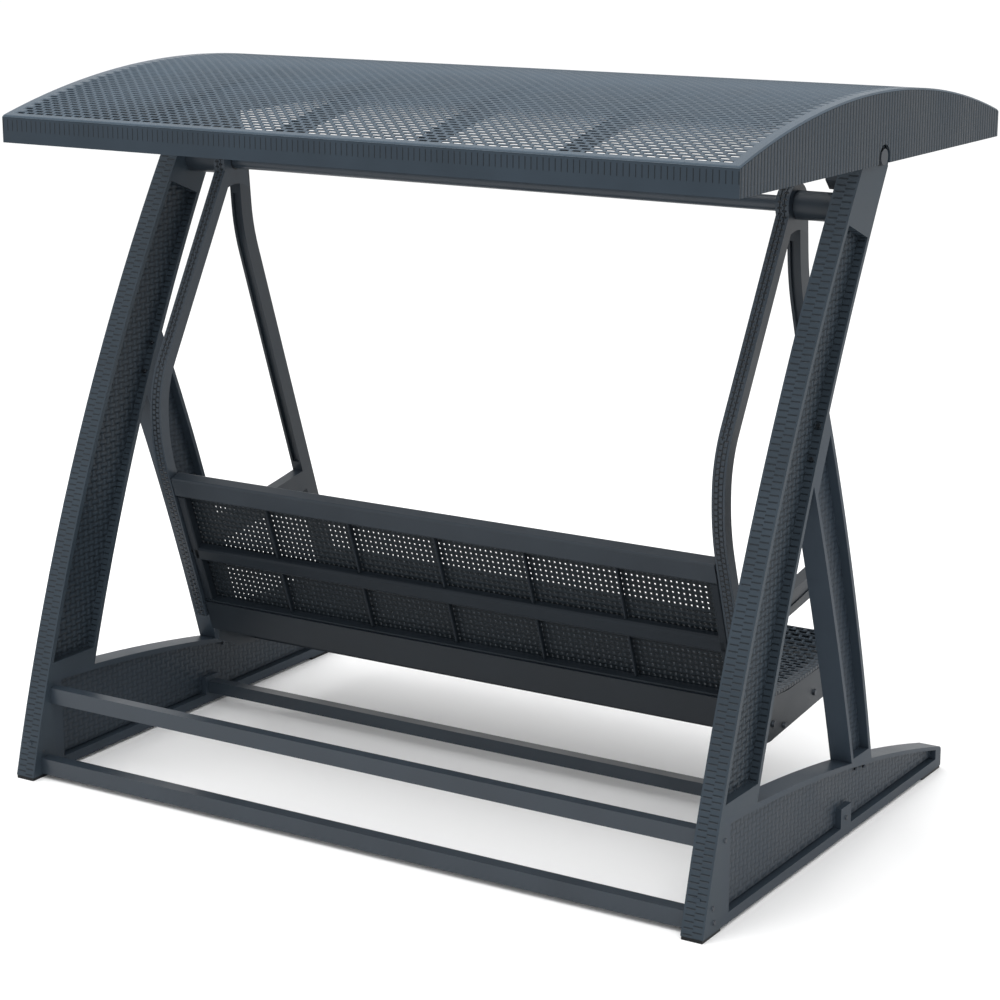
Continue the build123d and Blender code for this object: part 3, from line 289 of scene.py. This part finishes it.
def arm_braid(tree, x, y, z, sideways):
    """Two columns of beads down the faces that look forwards and back."""
    outward = add_node(tree, "ShaderNodeMath", {0: x}, operation="ABSOLUTE").outputs[0]
    column = add_node(tree, "ShaderNodeMath", {0: outward, 1: arm_middle - strand_width},
                      operation="SUBTRACT").outputs[0]
    beads = reeds(tree, z, column, strand_mm * bead_share, strand_width * 1000, 1.5)
    seam = reeds(tree, column, z, strand_width * 1000, 1000, 2.0)
    braid = add_node(tree, "ShaderNodeMath", {0: beads, 1: seam}, operation="MULTIPLY").outputs[0]
    deep = from_middle(tree, x, arm_middle)
    margin = add_node(tree, "ShaderNodeMath", {0: deep, 1: strand_width},
                      operation="GREATER_THAN").outputs[0]
    front_or_back = choose(tree, margin, braid, WHOLE)
    return choose(tree, sideways, front_or_back, WHOLE)


# moulded polypropylene, rubbed a little glossier by hands; the braid's gaps are painted nearly black as
# shade in its hollows
arm_resin = moulded_resin("moulded_polypropylene_braided", "#2C343C", "#0C0F12", 0.38, arm_braid,
                          bump=0.0025, gloss=0.25)
dress(arm_resin, "rear_arm_left", "rear_arm_right")
dress(plain_resin, "front_arm_left", "front_arm_right")


# ---- Canopy roof ---------------------------------------------------------------------------------
# One arched sheet moulded in polypropylene like open weave: slots 29.4 mm apart along the roof, each
# row 14.7 mm from the next and set half a pitch over. It is one sheet, drawn here as a rear and a
# front one so that neither holds too many triangles.
edge_strip = 0.003
edge_reach = 0.001


def sheet_from(path, across):
    """A sheet of faces: a line of points across the bench, drawn out along a side path of (y, z)."""
    bm = bmesh.new()
    line = [bm.verts.new((x, path[0][0], path[0][1])) for x in across]
    edges = [bm.edges.new(pair) for pair in zip(line, line[1:])]
    for (y0, z0), (y1, z1) in zip(path, path[1:]):
        drawn = bmesh.ops.extrude_edge_only(bm, edges=edges)["geom"]
        moved = [g for g in drawn if isinstance(g, bmesh.types.BMVert)]
        edges = [g for g in drawn
                 if isinstance(g, bmesh.types.BMEdge) and all(v in moved for v in g.verts)]
        bmesh.ops.translate(bm, verts=moved, vec=(0, y1 - y0, z1 - z0))
    return bm


def perforated(path, plain_rows, half_width, pitch, rib, squeeze, sink, staggered=True, first_row=0):
    """An open-weave sheet whose slots sink below its strands; plain_rows stay whole at either end."""
    count = int((2 * half_width - pitch) / pitch)
    start = -count * pitch / 2
    halves = [start + i * pitch / 2 for i in range(2 * count + 1)]
    across = [-half_width, edge_strip - half_width] + halves + [half_width - edge_strip, half_width]
    bm = sheet_from(path, across)
    bm.faces.ensure_lookup_table()
    per_row = len(across) - 1
    rows = len(path) - 1
    by_row = [sorted(bm.faces[n * per_row:(n + 1) * per_row], key=lambda f: f.calc_center_median().x)
              for n in range(rows)]
    joints = []
    for number, row in enumerate(by_row):
        if number < plain_rows[0] or number >= rows - plain_rows[1]:
            continue
        shift = (number + first_row) % 2 if staggered else 0
        for column in range(2 + shift, per_row - 3, 2):
            joints.extend(set(row[column].edges) & set(row[column + 1].edges))
    bmesh.ops.dissolve_edges(bm, edges=joints, use_verts=False)
    slots = [face for face in bm.faces if len(face.verts) > 4]
    bmesh.ops.inset_individual(bm, faces=slots, thickness=rib, use_even_offset=True)
    for face in slots:
        centre = face.calc_center_median()
        lowered = face.normal * sink
        ends = sorted(face.verts, key=lambda v: abs(v.co.x - centre.x))
        for vert in ends[2:]:
            vert.co = centre + (vert.co - centre) * squeeze
        for vert in face.verts:
            vert.co -= lowered
    bmesh.ops.delete(bm, geom=slots, context="FACES")
    return bm


def add_piece(name, bm, material, body, *replaced):
    """Turns a bmesh into a piece that rides on a body and stands for the CAD nodes named."""
    mesh = bpy.data.meshes.new(name)
    bm.to_mesh(mesh)
    bm.free()
    mesh.materials.append(material)
    piece = bpy.data.objects.new(name, mesh)
    bpy.context.scene.collection.objects.link(piece)
    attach(piece, body)
    if replaced:
        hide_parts(*replaced)
    return piece


def thicken(piece, depth):
    """Gives a sheet its wall, on the far side of its drawn faces from their normals."""
    wall = piece.modifiers.new("wall", "SOLIDIFY")
    wall.thickness = depth
    wall.offset = -1.0
    wall.use_even_offset = False


roof_low, roof_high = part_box("canopy_roof")
roof_depth = roof_high.y - roof_low.y
roof_spring = 1.645
rise = roof_high.z - roof_spring
roof_radius = (roof_depth ** 2 / 4 + rise ** 2) / (2 * rise)
roof_middle = (roof_high.y + roof_low.y) / 2


def roof_height(y):
    """The arch's top, on one circle from the front edge to the rear."""
    return roof_high.z - roof_radius + math.sqrt(roof_radius ** 2 - (y - roof_middle) ** 2)


row_depth = strand_mm / 1000
roof_rows = 92
band = (roof_depth - roof_rows * row_depth) / 2
lines = [roof_high.y - band - i * row_depth for i in range(roof_rows + 1)]
middle_line = roof_rows // 2
rear_lines = [roof_high.y, roof_high.y - edge_strip] + lines[:middle_line + 1]
front_lines = lines[middle_line:] + [roof_low.y + edge_strip, roof_low.y]
roof_rib = 0.0030
roof_squeeze = 0.92
roof_sink = 0.0014
turn_down = 0.0042
roof_wall = 0.0025


def roof_strands(tree, x, y, z, sideways):
    """Fine lengthwise strands, three to a row."""
    return bricks(tree, x, y, 2 * strand_mm, strand_mm / 3, 0.7)


# moulded polypropylene, drawn paler than the rims and ends as painted light falling on the roof from above;
# its gaps are darkened as painted shade
roof_resin = moulded_resin("moulded_polypropylene_open_weave", "#434F5A", "#37424B", 0.38,
                           roof_strands, bump=0.0003)
for name, line, plain_rows, first_row in (("roof_sheet_rear", rear_lines, (2, 0), 0),
                                          ("roof_sheet_front", front_lines, (0, 2), middle_line + 2)):
    bm = perforated([(y, roof_height(y)) for y in line], plain_rows, roof_high.x, 2 * row_depth,
                    roof_rib, roof_squeeze, roof_sink, first_row=first_row)
    # the sheet turns down at its edges, over the rims and ends
    for vert in bm.verts:
        at_side = abs(vert.co.x) > roof_high.x - edge_reach
        if at_side or vert.co.y > roof_high.y - edge_reach or vert.co.y < roof_low.y + edge_reach:
            vert.co.z -= turn_down
    roof = add_piece(name, bm, roof_resin, "canopy", "canopy_roof")
    thicken(roof, roof_wall)


# ---- Canopy rims and end panels ------------------------------------------------------------------
# The arched ends are moulded like upright reeds 14.7 mm apart, bound in courses. The rims along the
# front and rear are plain, but for a band of the same reeds along their upper half.
reed_band = 1.622
reed_band_half = 0.0135


def rim_reeds(tree, x, y, z, sideways):
    """Upright reeds bound in courses on the ends; one band of reeds along the rims."""
    from_band = add_node(tree, "ShaderNodeMath", {0: z, 1: reed_band}, operation="SUBTRACT").outputs[0]
    high = add_node(tree, "ShaderNodeMath", {0: from_band}, operation="ABSOLUTE").outputs[0]
    plain = add_node(tree, "ShaderNodeMath", {0: high, 1: reed_band_half},
                     operation="GREATER_THAN").outputs[0]
    rim = choose(tree, plain, reeds(tree, x, z, strand_mm, 1000, 3.0), WHOLE)
    upright = reeds(tree, y, z, strand_mm, 1000, 1.3)
    course = reeds(tree, z, y, strand_mm, 1000, 5.0)
    bound = add_node(tree, "ShaderNodeMath", {0: course, 1: 0.25, 2: 0.75},
                     operation="MULTIPLY_ADD").outputs[0]
    end = add_node(tree, "ShaderNodeMath", {0: upright, 1: bound}, operation="MULTIPLY").outputs[0]
    return choose(tree, sideways, rim, end)


# moulded polypropylene, matt; the gaps between reeds are darkened as painted shade and read as fine dark
# lines
rim_resin = moulded_resin("moulded_polypropylene_bound_reed", "#2A343D", "#12171B", 0.42, rim_reeds,
                          bump=0.0014)
dress(rim_resin, "canopy_rear_rim", "canopy_front_rim", "canopy_end_left", "canopy_end_right")

# ---- Backrest ------------------------------------------------------------------------------------
# A moulded frame of two rows of six fields, with an open-weave screen across its front face.
# The screen's holes are 14.7 mm apart both ways, and light shows through them.
back_run = 0.126
back_rise = 0.360
lean = math.atan2(back_run, back_rise)
along = Vector((0, math.sin(lean), math.cos(lean)))      # up the backrest
out = Vector((0, -math.cos(lean), math.sin(lean)))       # forwards from it
heel = 0.7275                    # Y of the legs' heels, from which depths are counted forwards
foot = Vector((0, heel - 0.526, 0.354))
panel_bottom = 0.006
panel_top = 0.33142
back_depth = 0.030
screen_depth = 0.004
hem = 0.002
screen_rib = 0.0041
screen_squeeze = 0.82
screen_sink = 0.001


def on_back(up, forward):
    """A point up the backrest and forwards of its rear face, as (y, z)."""
    point = foot + along * up + out * forward
    return (point.y, point.z)


bench_half = 0.771
hole_rows = 22
row_pitch = (panel_top - panel_bottom - 2 * hem) / hole_rows
hole_lines = [panel_bottom + hem + i * row_pitch for i in range(hole_rows + 1)]
ups = [panel_bottom] + hole_lines + [panel_top]
screen_path = [on_back(up, back_depth) for up in ups]


def screen_weave(tree, x, y, z, sideways):
    """Basket weave on the same square grid as the holes."""
    return wicker(tree, x, z, strand_mm, strand_mm)


# moulded polypropylene, smooth on the strands; its frame is plain. Screen and frame are drawn darker than
# the legs as painted shade from the canopy above, and the screen's gaps darker still as painted shade. The
# screen's faces look backwards, so its wall stands forwards and 4 mm clear of the bars behind it
screen_resin = moulded_resin("moulded_polypropylene_screen", "#1D242A", "#101417", 0.44, screen_weave,
                             bump=0.0008)
back_resin = moulded_resin("moulded_polypropylene_backrest", "#1B2127", "#1B2127", 0.42)
dress(plain_resin, "backrest_top_rail")
screen = add_piece("backrest_screen",
                   perforated(screen_path, (1, 1), bench_half, row_depth, screen_rib, screen_squeeze,
                              screen_sink, staggered=False),
                   screen_resin, "bench", "backrest_panel")
thicken(screen, screen_depth)

# the frame behind the screen: full depth at its edges and middle band, low ribs between the fields
columns = 6
edge = 0.022
rib = 0.006
rib_depth = 0.012
pitch = (2 * bench_half - 2 * edge + rib) / columns
border = 0.006
field_height = 0.150
middle_band = 0.044
upper_top = panel_top - border
upper_low = upper_top - field_height
lower_top = upper_low - middle_band
lower_low = panel_bottom + border
rear_face = 0.004
band_step = 0.002
middle_step = 0.009
stile_step = 0.003
rib_step = 0.0015
same_plane = 0.0005


def back_bar(name, low, high, left, right, near, step):
    """A bar behind the screen with its long rear edges stepped, like two laths laid together."""
    bm = bmesh.new()
    bmesh.ops.create_cube(bm, size=1.0)
    far = back_depth - screen_depth
    for vert in bm.verts:
        up = high if vert.co.z > 0 else low
        y, z = on_back(up, far if vert.co.y < 0 else near)
        vert.co = ((right if vert.co.x > 0 else left), y, z)
    rear = [e for e in bm.edges if all(on_rear(v, near) for v in e.verts)]
    bmesh.ops.bevel(bm, geom=rear, offset=step, segments=2, profile=0.35, affect="EDGES", material=-1)
    return add_piece(name, bm, back_resin, "bench")


def on_rear(vert, near):
    """Whether a corner lies on a bar's rear face."""
    return abs((vert.co - foot).dot(out) - near) < same_plane


back_bar("backrest_band_top", upper_top, panel_top, -bench_half, bench_half, rear_face, band_step)
back_bar("backrest_band_middle", lower_top, upper_low, -bench_half, bench_half, rear_face, middle_step)
back_bar("backrest_band_bottom", panel_bottom, lower_low, -bench_half, bench_half, rear_face, band_step)
for side in (-1, 1):
    ends = sorted((side * bench_half, side * (bench_half - edge)))
    back_bar(f"backrest_stile_{'left' if side < 0 else 'right'}", lower_low, upper_top, ends[0], ends[1],
             rear_face, stile_step)
for number in range(1, columns):
    middle = -bench_half + edge + number * pitch - rib / 2
    for name, low, high in (("upper", upper_low, upper_top), ("lower", lower_low, lower_top)):
        back_bar(f"backrest_rib_{name}_{number}", low, high, middle - rib / 2, middle + rib / 2,
                 back_depth - screen_depth - rib_depth, rib_step)

# ---- Seat ----------------------------------------------------------------------------------------
# The seat is one dished sheet moulded like open weave, rolled over at its front edge, and it rests on
# the side rails and channels. Its slots are 29.4 mm apart, each row half a pitch over from the last.
seat_corners = [(0.548, 0.336), (0.68, 0.325), (0.800, 0.320), (0.92, 0.324), (1.000, 0.331),
                (1.04, 0.350), (1.076, 0.371), (1.10, 0.372), (1.112, 0.370), (1.118, 0.355),
                (1.122, 0.340)]
seat_rib = 0.0034
seat_squeeze = 0.88
seat_sink = 0.0016
seat_wall = 0.008


def rounded(points, times):
    """Cuts the corners off a path, again and again, until it runs smoothly."""
    for _ in range(times):
        softer = [points[0]]
        for (a, b), (c, d) in zip(points, points[1:]):
            softer += [(0.75 * a + 0.25 * c, 0.75 * b + 0.25 * d),
                       (0.25 * a + 0.75 * c, 0.25 * b + 0.75 * d)]
        points = softer + [points[-1]]
    return points


def stepped(points, step):
    """Points at equal steps along a path."""
    lengths = [math.dist(a, b) for a, b in zip(points, points[1:])]
    total = sum(lengths)
    count = round(total / step)
    result = []
    for number in range(count + 1):
        target = number * total / count
        for (a, b), length in zip(zip(points, points[1:]), lengths):
            if target <= length + 1e-9:
                share = target / length
                result.append((a[0] + share * (b[0] - a[0]), a[1] + share * (b[1] - a[1])))
                break
            target -= length
    return result


def seat_weave(tree, x, y, z, sideways):
    """Basket weave with strands and stakes equally far apart."""
    return wicker(tree, x, y, strand_mm, strand_mm)


# moulded polypropylene; each strand is rounded and catches the light along its top, and the gaps between
# strands are darkened as painted shade
seat_resin = moulded_resin("moulded_polypropylene_seat_weave", "#36414B", "#1A2026", 0.36, seat_weave,
                           bump=0.0015)
seat_line = stepped(rounded(seat_corners, 3), row_depth)
seat_path = [(heel - d, z) for d, z in seat_line]
seat = add_piece("seat_sheet",
                 perforated(seat_path, (2, 2), bench_half, 2 * row_depth, seat_rib, seat_squeeze,
                            seat_sink),
                 seat_resin, "bench", "seat_pan")
thicken(seat, seat_wall)

# ---- Floor, light and camera ---------------------------------------------------------------------
# A plain matt floor, so pale that it runs into the background, under even studio light.
# Two soft lamps add a little shape: a weak one above the camera and a stronger one overhead.
floor_reach = 30.0
bm = bmesh.new()
bmesh.ops.create_grid(bm, x_segments=1, y_segments=1, size=floor_reach)
mesh = bpy.data.meshes.new("floor")
bm.to_mesh(mesh)
bm.free()
floor = bpy.data.objects.new("floor", mesh)
bpy.context.scene.collection.objects.link(floor)
# matt white paint, with no gloss to mirror the swing
paper = bpy.data.materials.new("matt_white_floor")
paper.use_nodes = True
tree = paper.node_tree
tree.nodes.clear()
matt = add_node(tree, "ShaderNodeBsdfPrincipled", {"Base Color": linear("#FCFCFC"), "Roughness": 0.9})
add_node(tree, "ShaderNodeOutputMaterial", {"Surface": matt.outputs[0]})
mesh.materials.append(paper)

world = bpy.data.worlds.new("studio")
world.use_nodes = True
world.node_tree.nodes["Background"].inputs["Color"].default_value = (1, 1, 1, 1)
world.node_tree.nodes["Background"].inputs["Strength"].default_value = 1.08
bpy.context.scene.world = world


def soft_light(name, place, target, size, watts):
    """A square area lamp turned towards a point."""
    light = bpy.data.lights.new(name, "AREA")
    light.size = size
    light.energy = watts
    lamp = bpy.data.objects.new(name, light)
    lamp.location = place
    lamp.rotation_euler = (Vector(target) - Vector(place)).to_track_quat("-Z", "Y").to_euler()
    bpy.context.scene.collection.objects.link(lamp)


soft_light("key", (-3.5, 4.5, 5.0), (0, 0, 0.8), 3.0, 60)
soft_light("top", (0.5, 0.5, 5.5), (0, 0, 1.2), 4.0, 210)

camera = bpy.data.cameras.new("camera")
camera.sensor_width = 36.0
camera.lens = 93.32
view = bpy.data.objects.new("camera", camera)
view.location = (-3.3088, 5.2931, 2.2555)
view.rotation_euler = Vector((0.5135, -0.8229, -0.2431)).to_track_quat("-Z", "Y").to_euler()
bpy.context.scene.collection.objects.link(view)
bpy.context.scene.camera = view
bpy.context.scene.view_settings.view_transform = "Standard"
